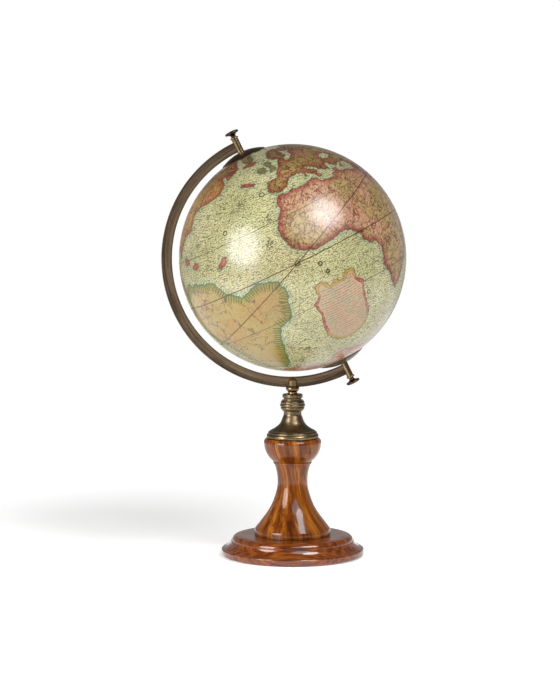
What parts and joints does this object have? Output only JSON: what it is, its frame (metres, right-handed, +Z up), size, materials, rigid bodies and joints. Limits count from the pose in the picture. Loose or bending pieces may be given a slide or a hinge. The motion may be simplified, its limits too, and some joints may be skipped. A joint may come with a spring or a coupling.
{
  "type": "desktop globe on stand",
  "caption": "Map ball on a tilted axis in a half-ring metal arm, with thumb pins at the poles, on a turned wooden baluster stand with metal fittings.",
  "frame": {"origin": "centre of the felt's underside, on the column's axis, where the globe rests on the desk", "axes": "+Z up along the column; +X towards the side of the ball that the half-ring arm leaves open; -Y is the side the map's front faces"},
  "size_m": [0.2694, 0.25, 0.4722],
  "materials": {
    "felt": "pressed wool felt",
    "wood": "gloss lacquered red-brown hardwood",
    "steel": "zinc plated",
    "polished_brass": "lacquered antique brass, turned and polished",
    "bronzed_brass": "bronzed brass, brushed along its length",
    "paper_map": "printed paper under gloss varnish",
    "ball_core": "pressed pasteboard"
  },
  "bodies": {
    "stand": {"base_felt": "felt", "wooden_base": "wood", "wooden_column": "wood", "tie_rod": "steel", "rod_washer": "steel", "rod_nut": "steel", "bell_cap": "polished_brass", "grooved_collar": "polished_brass", "top_flange": "polished_brass"},
    "arm": {"arm_saddle": "polished_brass", "arm_screw": "polished_brass", "meridian_arm": "bronzed_brass", "north_pivot_sleeve": "polished_brass", "south_pivot_sleeve": "polished_brass", "north_thrust_washer": "polished_brass", "south_thrust_washer": "polished_brass"},
    "north_pin": {"north_pivot_pin": "bronzed_brass"},
    "south_pin": {"south_pivot_pin": "bronzed_brass"},
    "globe": {"north_hemisphere_shell": "ball_core", "south_hemisphere_shell": "ball_core", "equator_band": "ball_core", "north_pole_bush": "polished_brass", "south_pole_bush": "polished_brass", "north_bush_nut": "polished_brass", "south_bush_nut": "polished_brass", "north_pole_cap": "bronzed_brass", "south_pole_cap": "bronzed_brass", "map_gore_01": "paper_map", "map_gore_02": "paper_map", "map_gore_03": "paper_map", "map_gore_04": "paper_map", "map_gore_05": "paper_map", "map_gore_06": "paper_map", "map_gore_07": "paper_map", "map_gore_08": "paper_map", "map_gore_09": "paper_map", "map_gore_10": "paper_map", "map_gore_11": "paper_map", "map_gore_12": "paper_map"}
  },
  "joints": [
    {"name": "arm_swivel", "type": "hinge", "parent": "stand", "child": "arm", "pos_m": [0, 0, 0.1805], "axis": [0, 0, 1], "continuous": true},
    {"name": "globe_spin", "type": "hinge", "parent": "arm", "child": "globe", "pos_m": [0, 0, 0.331], "axis": [-0.4384, 0, 0.8988], "continuous": true},
    {"name": "north_pin_turn", "type": "hinge", "parent": "arm", "child": "north_pin", "pos_m": [-0.06444, 0, 0.46312], "axis": [-0.4384, 0, 0.8988], "range_deg": [0, 180]},
    {"name": "south_pin_turn", "type": "hinge", "parent": "arm", "child": "south_pin", "pos_m": [0.06444, 0, 0.19888], "axis": [0.4384, 0, -0.8988], "range_deg": [0, 180]}
  ]
}
